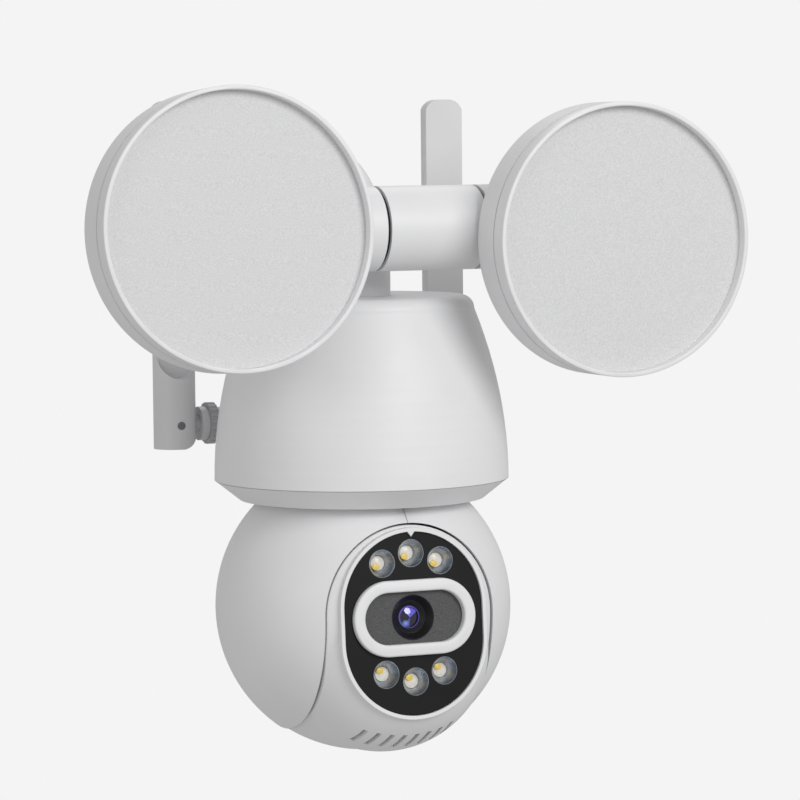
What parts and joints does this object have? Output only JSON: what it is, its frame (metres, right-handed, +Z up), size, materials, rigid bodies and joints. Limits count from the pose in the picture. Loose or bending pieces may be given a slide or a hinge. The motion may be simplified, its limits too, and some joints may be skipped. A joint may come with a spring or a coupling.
{
  "type": "floodlight security camera",
  "caption": "Wall-held security camera with round floodlights on a cross bar, folding antennas, and a pan and tilt camera ball under a bell-shaped housing.",
  "frame": {"origin": "centre of the wall plate's back face, where it meets the wall", "axes": "+Z up, +Y into the wall, the camera and the lamps look along -Y, +X to the right as seen from in front"},
  "size_m": [0.2476, 0.1504, 0.2461],
  "materials": {
    "galvanised_steel": "zinc plated",
    "gasket_rubber": "matte",
    "white_abs": "fine satin, moulded",
    "cream_nylon": "satin",
    "steel": "zinc plated",
    "motor_steel": "drawn can",
    "circuit_board": "solder mask",
    "white_circuit_board": "white solder mask on aluminium",
    "light_grey_abs": "satin, moulded",
    "mid_grey_abs": "satin, moulded",
    "black_abs": "satin",
    "face_black": "fine matte",
    "dark_grey_abs": "fine matte grain",
    "lens_glass": "violet coating",
    "reflector_chrome": "metallised",
    "led_resin": "clear resin over a yellow chip",
    "diffuser_acrylic": "frosted",
    "antenna_abs": "satin",
    "pin_steel": "plain"
  },
  "bodies": {
    "bracket": {"wall_plate": "galvanised_steel", "wall_gasket": "gasket_rubber", "canopy": "white_abs", "terminal_block": "cream_nylon", "support_arm": "white_abs", "bar_axle": "steel", "axle_rings": "steel", "swivel_seals": "gasket_rubber", "neck_tube": "white_abs", "neck_nut": "steel", "bell_housing": "white_abs", "base_ring": "white_abs", "base_screws": "steel", "pan_bush": "cream_nylon", "pan_motor": "motor_steel", "main_board": "circuit_board", "speaker": "black_abs", "antenna_sockets": "light_grey_abs", "antenna_nuts": "mid_grey_abs"},
    "ball": {"pan_hub": "white_abs", "pan_gear": "cream_nylon", "left_ball_shell": "white_abs", "right_ball_shell": "white_abs", "ball_screws": "steel", "tilt_bushes": "cream_nylon", "tilt_gear": "cream_nylon"},
    "pan_pinion_body": {"pan_pinion": "cream_nylon"},
    "camera": {"camera_front_shell": "white_abs", "camera_rear_shell": "white_abs", "face_plate": "face_black", "window_frame": "white_abs", "window_floor": "dark_grey_abs", "lens_hood": "black_abs", "lens_barrel": "black_abs", "lens_glass": "lens_glass", "sensor_board": "circuit_board", "led_board": "white_circuit_board", "led_reflectors": "reflector_chrome", "led_domes": "led_resin", "tilt_shafts": "steel", "tilt_motor": "motor_steel", "card_cover": "black_abs"},
    "tilt_pinion_body": {"tilt_pinion": "cream_nylon"},
    "reset_button_body": {"reset_button": "black_abs"},
    "left_lamp": {"left_lamp_sleeve": "white_abs", "left_lamp_housing": "white_abs", "left_lamp_bezel": "white_abs", "left_diffuser": "diffuser_acrylic", "left_led_panel": "white_circuit_board"},
    "right_lamp": {"right_lamp_sleeve": "white_abs", "right_lamp_housing": "white_abs", "right_lamp_bezel": "white_abs", "right_diffuser": "diffuser_acrylic", "right_led_panel": "white_circuit_board"},
    "left_antenna_base": {"left_antenna_knuckle": "light_grey_abs", "left_antenna_pin": "pin_steel"},
    "right_antenna_base": {"right_antenna_knuckle": "light_grey_abs", "right_antenna_pin": "pin_steel"},
    "left_antenna": {"left_antenna_blade": "antenna_abs"},
    "right_antenna": {"right_antenna_blade": "antenna_abs"}
  },
  "joints": [
    {"name": "camera_pan", "type": "hinge", "parent": "bracket", "child": "ball", "pos_m": [0, -0.075, -0.095], "axis": [0, 0, 1], "range_deg": [-175, 175]},
    {"name": "camera_tilt", "type": "hinge", "parent": "ball", "child": "camera", "pos_m": [0, -0.075, -0.1407], "axis": [1, 0, 0], "range_deg": [0, 90]},
    {"name": "pan_pinion_spin", "type": "hinge", "parent": "bracket", "child": "pan_pinion_body", "pos_m": [0, -0.044, -0.0902], "axis": [0, 0, 1], "range_deg": [-735, 735]},
    {"name": "tilt_pinion_spin", "type": "hinge", "parent": "camera", "child": "tilt_pinion_body", "pos_m": [0.0367, -0.06689, -0.1581], "axis": [1, 0, 0], "range_deg": [-5, 275]},
    {"name": "reset_button_press", "type": "slide", "parent": "camera", "child": "reset_button_body", "axis": [0, -0.4695, 0.8829], "range_m": [0, 0.0008], "stiffness_N_per_m": 400},
    {"name": "left_lamp_swivel", "type": "hinge", "parent": "bracket", "child": "left_lamp", "pos_m": [-0.03, -0.109, 0], "axis": [1, 0, 0], "range_deg": [-86, 28]},
    {"name": "right_lamp_swivel", "type": "hinge", "parent": "bracket", "child": "right_lamp", "pos_m": [0.04, -0.109, 0], "axis": [1, 0, 0], "range_deg": [-90, 25]},
    {"name": "left_antenna_swivel", "type": "hinge", "parent": "bracket", "child": "left_antenna_base", "pos_m": [-0.0558, -0.0255, -0.0747], "axis": [1, 0, 0], "range_deg": [-8, 12]},
    {"name": "left_antenna_fold", "type": "hinge", "parent": "left_antenna_base", "child": "left_antenna", "pos_m": [-0.0558, -0.0255, -0.0747], "axis": [0, -1, 0], "range_deg": [0, 90]},
    {"name": "right_antenna_swivel", "type": "hinge", "parent": "bracket", "child": "right_antenna_base", "pos_m": [0.0558, -0.0255, -0.0747], "axis": [1, 0, 0], "range_deg": [-8, 12]},
    {"name": "right_antenna_fold", "type": "hinge", "parent": "right_antenna_base", "child": "right_antenna", "pos_m": [0.0558, -0.0255, -0.0747], "axis": [0, 1, 0], "range_deg": [0, 90]}
  ],
  "couplings": [
    {"joint": "pan_pinion_spin", "follows": "camera_pan", "ratio": -4.1667},
    {"joint": "tilt_pinion_spin", "follows": "camera_tilt", "ratio": 3}
  ]
}
